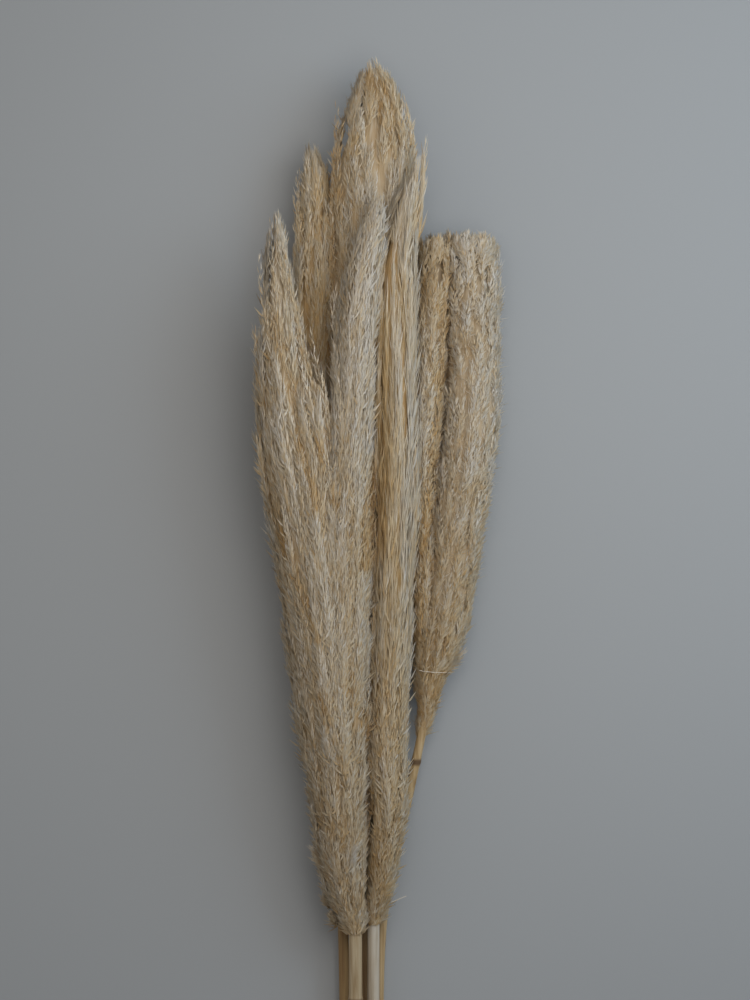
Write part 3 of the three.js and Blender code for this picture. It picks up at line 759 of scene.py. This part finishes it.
def tuft_spikelets(path_at, outward_at, look_at, width, counts, random):
    """Slivers of the spikelets of many tufts. path_at(s) gives the middle lines of all tufts, for s from 0 at
    the root to 1 at the tip. Each tuft holds locks beside its middle line. A lock ends at some distance
    below the tuft's tip, and its offset there is drawn from a flat round section that narrows to nothing
    at the tip, so a tuft is a spindle. Spikelets leave a lock at the spread angle, turned round it, bend
    on by the bend share, and get smaller towards the lock's tip."""
    tufts, locks, per_lock = counts
    one_lock, each = (tufts, locks, 1), (tufts, locks, per_lock)
    below = TUFT_BLUNT * random.uniform(0, 1, one_lock) ** LOCK_END_POWER
    begin = np.maximum(1 - below - LOCK_SHARE * random.uniform(*LOCK_RANGE, one_lock), 0)
    t = (np.arange(per_lock) + random.uniform(0, 1, each)) / per_lock
    s = begin + (1 - below - begin) * t
    centre = path_at(s)
    ahead = unit(path_at(s + PATH_STEP) - path_at(s - PATH_STEP))
    aside = unit(np.cross(ahead, outward_at(s)))
    outward = np.cross(aside, ahead)
    round_tuft = random.uniform(0, 2 * math.pi, one_lock)
    offset = np.sqrt(random.uniform(0, 1, one_lock)) * (below / TUFT_BLUNT) ** TUFT_TAPER_POWER
    from_middle = np.cos(round_tuft)[..., None] * aside + TUFT_FLAT * np.sin(round_tuft)[..., None] * outward
    opened = LOCK_FOOT_OFFSET + (1 - LOCK_FOOT_OFFSET) * t
    centre = centre + (opened * offset * width)[..., None] * from_middle
    ahead = unit(ahead + (TUFT_FLARE * t * offset)[..., None] * from_middle)
    outward = np.cross(aside, ahead)

    look = look_at(centre, s)
    round_lock = random.uniform(-SPIKELET_ROUND, SPIKELET_ROUND, each)
    away = np.cos(round_lock)[..., None] * outward + np.sin(round_lock)[..., None] * aside
    loose = random.uniform(0, 1, each) < LOOSE_HAIRS
    spread = look["spread"] * random.uniform(*SPREAD_RANGE, each) * (1 - SPREAD_LOSS * t**3)
    spread = np.where(loose, spread * LOOSE_SPREAD + LOOSE_LEAST, spread)
    size = look["size"] * random.uniform(*SIZE_RANGE, each) * (1 - SIZE_LOSS * t**2)
    size = size * (1 + LOOSE_LONGER * loose)
    breadth = look["breadth"] * random.uniform(*BREADTH_RANGE, each) * (1 - BREADTH_LOSS * t**2)
    breadth = np.where(loose, breadth * LOOSE_BREADTH, breadth)
    bent = spread * look["bend"]
    start = np.cos(spread)[..., None] * ahead + np.sin(spread)[..., None] * away
    finish = np.cos(bent)[..., None] * ahead + np.sin(bent)[..., None] * away
    root = centre + random.uniform(0, SPIKELET_OFFSET, each)[..., None] * away
    middle = root + BEND_AT * size[..., None] * start
    tip = middle + (1 - BEND_AT) * size[..., None] * finish

    shade = random.normal(0, TUFT_SHADES, (tufts, 1, 1)) + random.normal(0, LOCK_SHADES, one_lock)
    shade = shade + random.normal(0, SPIKELET_SHADES, each) + LOCK_TIP_PALER * t
    # Painted shade: darker towards the tuft's root, deep in the plume.
    shade = shade - PAINTED_SHADE_AT_TUFT_ROOT * (1 - s) ** PAINTED_SHADE_ROOT_POWER
    # Painted light on a tuft's upper locks and painted shade on its lower ones.
    shade = shade + PAINTED_TUFT_LIGHT_AND_SHADE * offset * np.sin(round_tuft)
    # Painted shade on the lock's inner side.
    shade = shade - PAINTED_SHADE_INNER_SIDE * np.maximum(-np.cos(round_lock), 0)
    # Darker spikelets are made warmer, also where the darkening is painted shade: partly the chaff's own
    # colour, partly painted warm light bounced in the shade.
    warmth = look["warmth"] + random.normal(0, SPIKELET_WARMTHS, each) - PALE_COOLER * shade
    shade = look["shade"] + shade
    shades = np.stack([shade - ROOT_DARKER, shade, shade + TIP_PALER], -1)
    turns = random.uniform(0, 2 * math.pi, each)
    made = root, middle, tip, breadth, shades, warmth, turns, unit(outward + FACING_AWAY * away)
    return [values.reshape(t.size, -1).squeeze() for values in made]


def lobe_tufts(lobe, grown, painted_shade_lines, random):
    """Slivers of all tufts of a lobe. The tips of the tufts are spread over it by the golden angle, as on
    a growing plant, closer where the tufts are small, and those of its crown fill its blunt upper end. A
    tuft's middle line comes out of the heart on a power curve, and then follows the folded surface."""
    count = grown["tufts"] + grown["crown"]
    outline = drawn_in(lobe["outline"], lobe["inset"])
    base, top = outline[0, 0], outline[-1, 0]
    first_tip = base + FIRST_TIP * grown["habit"][0][5]
    stations = np.linspace(first_tip, top, STATIONS)
    left, right, low, high = np.moveaxis(smooth_rows(outline, stations), -1, 0)
    tuft_size = np.prod(smooth_rows(grown["habit"], stations)[:, 4:6], 1)
    crowding = np.cumsum((right - left + high - low + GIRTH_ADDED) / np.sqrt(tuft_size))
    order = (np.arange(count) + random.uniform(*ORDER_RANGE, count)) / grown["tufts"]
    tip_along = np.interp(order, crowding / crowding[-1], stations)
    crown = slice(grown["tufts"], None)
    length, width = np.moveaxis(smooth_rows(grown["habit"], tip_along)[..., 4:6], -1, 0)
    tip_share = random.uniform(*TIP_SHARE_RANGE, count)
    tip_share[crown] = np.sqrt(random.uniform(0, CROWN_REACH, grown["crown"]))
    length[crown] *= CROWN_LENGTH
    tip_along[crown] = top - length[crown] * random.uniform(0, CROWN_DEPTH, grown["crown"])
    root_share = np.full(count, ROOT_SHARE)
    root_share[crown] *= tip_share[crown]
    length = length * random.uniform(*LENGTH_RANGE, count)
    root_along = np.maximum(tip_along - length, base)
    turn = np.arange(count) * GOLDEN_ANGLE + random.uniform(-TURN_CHANCE, TURN_CHANCE, count)
    turn = turn + UPPER_PULL * np.cos(turn)
    lean = random.uniform(-LEAN, LEAN, count)
    wave = random.uniform(-WAVE, WAVE, count)
    phase = random.uniform(0, 2 * math.pi, count)
    width = width * random.uniform(*WIDTH_RANGE, count)
    tip_along, root_along, tip_share, root_share = (
        values[:, None, None] for values in (tip_along, root_along, tip_share, root_share)
    )
    turn, lean, wave, phase, width = (values[:, None, None] for values in (turn, lean, wave, phase, width))

    def bearing_at(s):
        return turn + lean * (s - LEAN_MIDDLE) + wave * np.sin(WAVE_TURN * s + phase)

    def path_at(s):
        along = root_along + (tip_along - root_along) * s
        share = root_share + (tip_share - root_share) * (1 - np.clip(1 - s, 0, 1) ** RISE_POWER)
        bearing = bearing_at(s)
        return ellipse_place(outline, along, bearing, share * (1 + folds(lobe, bearing, along)))

    def outward_at(s):
        along = root_along + (tip_along - root_along) * s
        left, right, low, high = np.moveaxis(smooth_rows(outline, along), -1, 0)
        bearing = bearing_at(s)
        return np.stack([np.cos(bearing) / (right - left), 0 * bearing, np.sin(bearing) / (high - low)], -1)

    def look_at(points, s):
        habit = smooth_rows(grown["habit"], points[..., 1])
        spread, size, shade, warmth = np.moveaxis(habit[..., :4], -1, 0)
        more_shade, more_warmth, spread_share = dabbed(grown["dabs"], painted_shade_lines, points)
        # Painted shade in the folds' grooves, darker and warmer, and painted light on their ridges.
        ridge = folds(lobe, bearing_at(s), root_along + (tip_along - root_along) * s)
        return {
            "spread": np.radians(spread) * spread_share, "size": size, "breadth": grown["breadth"],
            "bend": grown["bend"], "shade": shade + more_shade + FOLD_PAINTED_SHADE * ridge,
            "warmth": warmth + more_warmth - FOLD_PAINTED_SHADE_WARMTH * ridge,
        }

    counts = count, grown["locks"], grown["per_lock"]
    return tuft_spikelets(path_at, outward_at, look_at, width, counts, random)


def plume_finish(name):
    """Dry silky chaff. The base colour is read from the piece's own colour map: across it from brown
    through tan and straw to pale cream, up it from ashen to golden. Pale chaff is a little glossier."""
    material = bpy.data.materials.new(name)
    material.use_nodes = True
    nodes, links = material.node_tree.nodes, material.node_tree.links
    shader = nodes["Principled BSDF"]
    place = nodes.new("ShaderNodeUVMap")
    place.uv_map = "OFBake"
    apart = nodes.new("ShaderNodeSeparateXYZ")
    shades = nodes.new("ShaderNodeValToRGB")
    shades.color_ramp.interpolation = "EASE"
    stops = [
        (0.0, (0.46, 0.29, 0.14)), (0.25, (0.64, 0.46, 0.27)), (0.5, (0.75, 0.60, 0.41)),
        (0.75, (0.81, 0.715, 0.575)), (1.0, (0.87, 0.81, 0.73)),
    ]
    for position, colour in stops[1:-1]:
        shades.color_ramp.elements.new(position).color = (*colour, 1)
    shades.color_ramp.elements[0].color = (*stops[0][1], 1)
    shades.color_ramp.elements[-1].color = (*stops[-1][1], 1)
    tints = nodes.new("ShaderNodeValToRGB")
    tints.color_ramp.elements[0].color = (1.0, 1.0, 1.0, 1)
    tints.color_ramp.elements[1].color = (1.0, 0.87, 0.62, 1)
    tinted = nodes.new("ShaderNodeMix")
    tinted.data_type = "RGBA"
    tinted.blend_type = "MULTIPLY"
    tinted.inputs["Factor"].default_value = 1
    dull = nodes.new("ShaderNodeMapRange")
    dull.inputs["To Min"].default_value = 0.95
    dull.inputs["To Max"].default_value = 0.62
    links.new(place.outputs["UV"], apart.inputs[0])
    links.new(apart.outputs["X"], shades.inputs["Fac"])
    links.new(apart.outputs["Y"], tints.inputs["Fac"])
    links.new(shades.outputs["Color"], tinted.inputs["A"])
    links.new(tints.outputs["Color"], tinted.inputs["B"])
    links.new(tinted.outputs["Result"], shader.inputs["Base Color"])
    links.new(apart.outputs["X"], dull.inputs["Value"])
    links.new(dull.outputs["Result"], shader.inputs["Roughness"])
    shader.inputs["Specular IOR Level"].default_value = 0.25
    shader.inputs["Sheen Weight"].default_value = 0.18
    shader.inputs["Sheen Roughness"].default_value = 0.5
    return material


def add_chaff(name, slivers, plume_name, finish):
    """One piece of a plume from the slivers of its spikelets, with their places in the colour map."""
    points, faces, places, normals = sliver_mesh(*slivers)
    piece = add_mesh(name, points, faces)
    shading = piece.data.attributes.new("custom_normal", "FLOAT_VECTOR", "POINT")
    shading.data.foreach_set("vector", normals.astype(np.float32).ravel())
    colour_map = piece.data.uv_layers.new(name="OFBake")
    colour_map.data.foreach_set("uv", places.astype(np.float32).ravel())
    piece.data.materials.append(finish)
    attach(piece, "root")
    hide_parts(plume_name)


every_lobe = [(name, part, lobe) for name, plume in plumes.items() for part, lobe in plume["lobes"].items()]
finishes = {plume["slot"]: plume_finish("chaff_" + plume["slot"]) for plume in plumes.values()}
for name, part, lobe in every_lobe:
    random = np.random.default_rng(lobe["seed"])
    slivers = lobe_tufts(lobe, growth[name][part], painted_shade_furrows[name], random)
    hidden = np.zeros(len(slivers[0]), bool)
    for _, _, other in every_lobe:
        hidden |= buried(slivers[1], other)
    kept = [values[~hidden] for values in slivers]
    slot = plumes[name]["slot"]
    add_chaff(f"chaff_{name}_{part}", kept, "plume_" + name, finishes[slot])

# The laid tufts and the loose fibres
# On each plume some tufts of the same silky chaff stand out by themselves, rooted among the others and
# lying on them. At the feet of two plumes a few single fibres have come loose and lie across the rest.

# A plume's laid tufts: the spread in degrees and the length of their spikelets, and rows of x and along of
# the root, then of the tip, how far the tuft bows to the left, its half width, its shade and its warmth.
laid = {
    "front_left": {
        "seed": 401, "spread": 19, "size": 0.012,
        "rows": [
            (-0.0804, 0.2852, -0.0948, 0.3996, 0.0010, 0.0030, 0.80, 0.36),
            (-0.0628, 0.2628, -0.0836, 0.4276, 0.0070, 0.0054, 0.80, 0.36),
            (-0.0452, 0.2628, -0.0772, 0.4148, 0.0030, 0.0048, 0.84, 0.34),
            # Darker and warmer: painted shade on the plume's left edge.
            (-0.0884, 0.2628, -0.0975, 0.3460, 0.0010, 0.0028, 0.66, 0.46),
            (-0.0564, 0.1988, -0.0908, 0.3356, -0.0028, 0.0044, 0.90, 0.30),
            (-0.0420, 0.1828, -0.0668, 0.2900, -0.0030, 0.0036, 0.86, 0.32),
            (-0.0340, 0.2148, -0.0564, 0.3428, -0.0016, 0.0042, 0.86, 0.32),
            (-0.0388, 0.1988, -0.0676, 0.3284, -0.0020, 0.0038, 0.82, 0.36),
            (-0.0532, 0.1508, -0.0852, 0.2644, -0.0030, 0.0042, 0.90, 0.30),
            (-0.0388, 0.1188, -0.0596, 0.2228, 0.0, 0.0040, 0.84, 0.34),
            (-0.0852, 0.1828, -0.0965, 0.2564, 0.0, 0.0017, 0.72, 0.42),
            (-0.0628, 0.1028, -0.0756, 0.1988, 0.0, 0.0040, 0.84, 0.34),
            (-0.0268, 0.1508, -0.0452, 0.2548, 0.0, 0.0040, 0.86, 0.32),
            (-0.0228, 0.1988, -0.0324, 0.3012, 0.0, 0.0040, 0.88, 0.30),
            (-0.0228, 0.2548, -0.0340, 0.3924, 0.0048, 0.0034, 0.94, 0.26),
            (-0.0212, 0.2788, 0.0060, 0.4356, 0.0096, 0.0050, 0.90, 0.26),
            (-0.0084, 0.2228, -0.0052, 0.3588, 0.0, 0.0040, 0.90, 0.28),
            (-0.0440, -0.0960, -0.0528, -0.0796, 0.0, 0.0009, 0.76, 0.40),
            (-0.0388, -0.1308, -0.0447, -0.1148, 0.0, 0.0009, 0.74, 0.42),
            (-0.0324, -0.1452, -0.0388, -0.1329, 0.0, 0.0009, 0.72, 0.44),
            (-0.0292, -0.0908, -0.0132, -0.0720, 0.0, 0.0012, 0.98, 0.22),
            (-0.0268, -0.1052, -0.0180, -0.0780, 0.0, 0.0012, 0.98, 0.22),
        ],
    },
    "middle_right": {
        "seed": 402, "spread": 7, "size": 0.018,
        "rows": [
            (0.0300, 0.3988, 0.0362, 0.4844, -0.001, 0.0009, 0.80, 0.48),
            (0.0264, 0.3908, 0.0306, 0.4660, 0.0, 0.0012, 0.80, 0.48),
            (0.0236, 0.2788, 0.0252, 0.3988, 0.0, 0.0024, 0.86, 0.44),
            (0.0172, 0.1828, 0.0188, 0.3108, 0.0, 0.0024, 0.84, 0.50),
            (0.0000, 0.2300, 0.0012, 0.3260, 0.0, 0.0022, 0.74, 0.54),
            (0.0012, 0.2980, 0.0024, 0.3900, 0.0, 0.0022, 0.78, 0.50),
            # These three fill the groove beside the right plume and are darker: painted shade.
            (-0.0046, 0.0300, -0.0038, 0.1220, 0.0, 0.0016, 0.62, 0.56),
            (-0.0036, 0.0940, -0.0026, 0.1880, 0.0, 0.0018, 0.60, 0.58),
            (-0.0030, 0.1540, -0.0016, 0.2500, 0.0, 0.0018, 0.62, 0.58),
            (0.0276, 0.1508, 0.0292, 0.2788, 0.0, 0.0022, 0.88, 0.42),
        ],
    },
    "tall_middle": {
        "seed": 403, "spread": 18, "size": 0.011,
        "rows": [
            (-0.0348, 0.4148, -0.0332, 0.5148, 0.0, 0.0036, 0.46, 0.46),
            (-0.0380, 0.3380, -0.0368, 0.4300, 0.0, 0.0034, 0.50, 0.48),
            (-0.0356, 0.3860, -0.0372, 0.4780, 0.0, 0.0034, 0.48, 0.46),
            (-0.0212, 0.4148, -0.0260, 0.5092, 0.0, 0.0038, 0.80, 0.38),
            (-0.0084, 0.4388, -0.0180, 0.5316, 0.0, 0.0044, 0.84, 0.36),
            # These four make the tan band on the top's right side: partly the smoother underside's own tan,
            # partly painted shade.
            (0.0108, 0.4628, -0.0100, 0.5508, -0.0060, 0.0042, 0.72, 0.48),
            (0.0188, 0.4548, -0.0020, 0.5492, -0.0080, 0.0040, 0.68, 0.54),
            (0.0252, 0.4388, 0.0188, 0.5252, -0.0040, 0.0028, 0.70, 0.52),
            (0.0276, 0.4228, 0.0276, 0.5044, 0.0, 0.0022, 0.72, 0.50),
            (-0.0108, 0.3748, -0.0004, 0.4668, 0.0, 0.0044, 0.88, 0.32),
            (0.0052, 0.3908, 0.0108, 0.4788, 0.0, 0.0038, 0.86, 0.34),
            (-0.0268, 0.3588, -0.0292, 0.4468, 0.0, 0.0038, 0.84, 0.36),
            (-0.0164, 0.3428, -0.0212, 0.4268, 0.0, 0.0044, 0.86, 0.32),
            (0.0132, 0.4148, 0.0196, 0.4868, 0.0, 0.0030, 0.82, 0.40),
        ],
    },
    "right": {
        "seed": 404, "spread": 24, "size": 0.009,
        "rows": [
            (0.0516, 0.0572, 0.0704, 0.0784, 0.0, 0.0022, 0.84, 0.36),
            (0.0625, 0.2240, 0.0672, 0.2880, 0.0, 0.0034, 0.78, 0.38),
            (0.0540, 0.1620, 0.0586, 0.2200, 0.0, 0.0034, 0.74, 0.42),
            (0.0700, 0.1380, 0.0756, 0.1920, 0.0, 0.0030, 0.76, 0.40),
            # These three are darker and warmer: painted shade in the groove between the two lobes.
            (0.0505, 0.3300, 0.0535, 0.3960, 0.0, 0.0030, 0.56, 0.42),
            (0.0480, 0.2700, 0.0515, 0.3400, 0.0, 0.0028, 0.54, 0.44),
            (0.0430, 0.2080, 0.0485, 0.2800, 0.0, 0.0026, 0.50, 0.46),
        ],
    },
    "back_left": {
        "seed": 405, "spread": 15, "size": 0.012,
        "rows": [
            (-0.0532, 0.4068, -0.0572, 0.4844, 0.0, 0.0028, 0.78, 0.44),
            (-0.0484, 0.3988, -0.0516, 0.4748, 0.0, 0.0030, 0.76, 0.46),
            (-0.0612, 0.3748, -0.0644, 0.4628, 0.0, 0.0028, 0.76, 0.46),
            (-0.0628, 0.3588, -0.0676, 0.4468, 0.0, 0.0030, 0.78, 0.44),
            (-0.0428, 0.3668, -0.0420, 0.4508, 0.0, 0.0028, 0.60, 0.58),
            (-0.0388, 0.3348, -0.0484, 0.4148, 0.0, 0.0030, 0.58, 0.60),
            (-0.0532, 0.3348, -0.0604, 0.4148, 0.0, 0.0032, 0.66, 0.54),
        ],
    },
}

# The loose fibres: x and along of both ends.
fibres = {
    "middle_right": [(0.0100, -0.1250, 0.0228, -0.1196)],
    "right": [(0.0308, 0.0620, 0.0450, 0.0604), (0.0440, 0.0606, 0.0588, 0.0596)],
}

LAID_LOCKS = 9
LAID_PER_LOCK = 30
LAID_LIFT = 0.002  # how far the tip of a laid tuft stands above the plume's surface
LAID_SINK = 0.012  # how deep its root lies under the surface
LAID_SIZE_LOSS = 0.2  # share of its spikelets' size that is lost at its tip
LAID_BREADTH = 0.0010
LAID_BEND = 0.6
BESIDE_LOW, BESIDE_HIGH = 0.05, 0.10  # how far past a lobe's ends its height still counts
FIBRE_POINTS = 12
FIBRE_BREADTH = 0.0007
FIBRE_LIFT = 0.0035  # above the surface that it lies across, clear of the spikelets' tips
FIBRE_SHADES = (0.92, 0.95, 0.92)
FIBRE_WARMTH = 0.2


def surface_height(outlines, x, along):
    """Height of the upper side of several elliptic outlines at x and along: the highest of them, and
    beside an outline the height of its middle."""
    heights = []
    for rows in outlines:
        left, right, low, high = np.moveaxis(smooth_rows(rows, along), -1, 0)
        across = np.clip((x - (left + right) / 2) / (right - left) * 2, -1, 1)
        height = (low + high) / 2 + (high - low) / 2 * np.sqrt(1 - across**2)
        reached = (along > rows[0, 0] - BESIDE_LOW) & (along < rows[-1, 0] + BESIDE_HIGH)
        heights.append(height * reached)
    return np.max(heights, 0)


def laid_tufts(tufts, outlines):
    """Slivers of the tufts that stand out by themselves. A tuft's middle line is the arc through its root,
    its bowed middle and its tip, at the height of the plume's upper surface. Its root is sunk in."""
    random = np.random.default_rng(tufts["seed"])
    rows = np.array(tufts["rows"])[:, None, None]
    root, tip = rows[..., 0:2], rows[..., 2:4]
    bow, width, shade, warmth = np.moveaxis(rows[..., 4:8], -1, 0)

    def path_at(s):
        flat = root + (tip - root) * s[..., None]
        x, along = flat[..., 0] - bow * 4 * s * (1 - s), flat[..., 1]
        height = surface_height(outlines, x, along) + LAID_LIFT * s - LAID_SINK * np.clip(1 - s, 0, 1) ** 2
        return np.stack([x, along, height], -1)

    def look_at(points, s):
        size = tufts["size"] * (1 - LAID_SIZE_LOSS * s)
        return {
            "spread": math.radians(tufts["spread"]), "size": size, "breadth": LAID_BREADTH,
            "bend": LAID_BEND, "shade": shade, "warmth": warmth,
        }

    counts = len(rows), LAID_LOCKS, LAID_PER_LOCK
    return tuft_spikelets(path_at, lambda s: np.array([0.0, 0.0, 1.0]), look_at, width, counts, random)


def stray_fibres(rows, outlines):
    """Slivers of the single loose fibres that lie across a plume, from x and along to x and along. A fibre
    is a chain of blades, each of which starts at the middle of the last."""
    rows = np.array(rows)[:, None]
    s = np.linspace(0, 1, FIBRE_POINTS)[None, :, None]
    flat = rows[..., 0:2] + (rows[..., 2:4] - rows[..., 0:2]) * s
    height = surface_height(outlines, flat[..., 0], flat[..., 1]) + FIBRE_LIFT
    points = np.concatenate([flat, height[..., None]], -1)
    roots, middles, tips = (points[:, i:FIBRE_POINTS - 2 + i].reshape(-1, 3) for i in range(3))
    ones = np.ones(len(roots))
    facing = np.tile([0.0, 0.0, 1.0], (len(roots), 1))
    shades = np.tile(FIBRE_SHADES, (len(roots), 1))
    return [roots, middles, tips, FIBRE_BREADTH * ones, shades, FIBRE_WARMTH * ones, 0 * ones, facing]


for name, plume in plumes.items():
    outlines = [drawn_in(lobe["outline"], lobe["inset"]) for lobe in plume["lobes"].values()]
    slivers = laid_tufts(laid[name], outlines)
    if name in fibres:
        slivers = [np.concatenate(both) for both in zip(slivers, stray_fibres(fibres[name], outlines))]
    add_chaff(f"chaff_{name}_laid", slivers, "plume_" + name, finishes[plume["slot"]])

# The floor, the light and the camera
# A plain pale floor under a large soft light from the right, a weaker warm one from the left and one from
# above. The camera looks straight down on the plumes, which is the photograph's view of them.
VIEW_HEIGHT = 0.800  # of the floor, that the picture shows
VIEW_MIDDLE = (-0.0028, 0.1988, 0.045)
CAMERA_DISTANCE = 2.6
FLOOR_REACH = 9.0

floor = add_mesh(
    "floor",
    np.array([(-1, -1, 0), (1, -1, 0), (1, 1, 0), (-1, 1, 0)]) * FLOOR_REACH,
    np.array([(0, 1, 2, 3)]),
)
floor_finish = bpy.data.materials.new("pale_floor")
floor_finish.use_nodes = True
floor_shader = floor_finish.node_tree.nodes["Principled BSDF"]
floor_shader.inputs["Base Color"].default_value = (0.492, 0.514, 0.538, 1)
floor_shader.inputs["Roughness"].default_value = 0.9
floor.data.materials.append(floor_finish)


def add_soft_light(name, place, size, power, colour):
    """A square area light that faces the bundle's middle."""
    data = bpy.data.lights.new(name, "AREA")
    data.size = size
    data.energy = power
    data.color = colour
    light = bpy.data.objects.new(name, data)
    light.location = place
    aim = np.array(VIEW_MIDDLE) - place
    light.rotation_euler = mathutils.Vector(aim).to_track_quat("-Z", "Y").to_euler()
    light.visible_camera = False
    bpy.context.scene.collection.objects.link(light)


add_soft_light("window", (1.05, 0.66, 0.80), 0.9, 4.65, (0.69, 0.86, 1.0))
add_soft_light("room", (-1.2, 0.6, 1.3), 1.5, 1.4, (1.0, 0.80, 0.50))
add_soft_light("ceiling", (0.20, 0.44, 0.84), 0.8, 2.9, (1.0, 0.96, 0.90))

world = bpy.data.worlds.new("room_air")
world.use_nodes = True
world.node_tree.nodes["Background"].inputs["Color"].default_value = (0.62, 0.62, 0.62, 1)
world.node_tree.nodes["Background"].inputs["Strength"].default_value = 0.30
bpy.context.scene.world = world
bpy.context.scene.view_settings.view_transform = "Standard"

camera_data = bpy.data.cameras.new("camera")
camera_data.sensor_width = 36.0
camera_data.lens = camera_data.sensor_width * CAMERA_DISTANCE / VIEW_HEIGHT
camera = bpy.data.objects.new("camera", camera_data)
camera.location = (VIEW_MIDDLE[0], VIEW_MIDDLE[1], VIEW_MIDDLE[2] + CAMERA_DISTANCE)
bpy.context.scene.collection.objects.link(camera)
bpy.context.scene.camera = camera
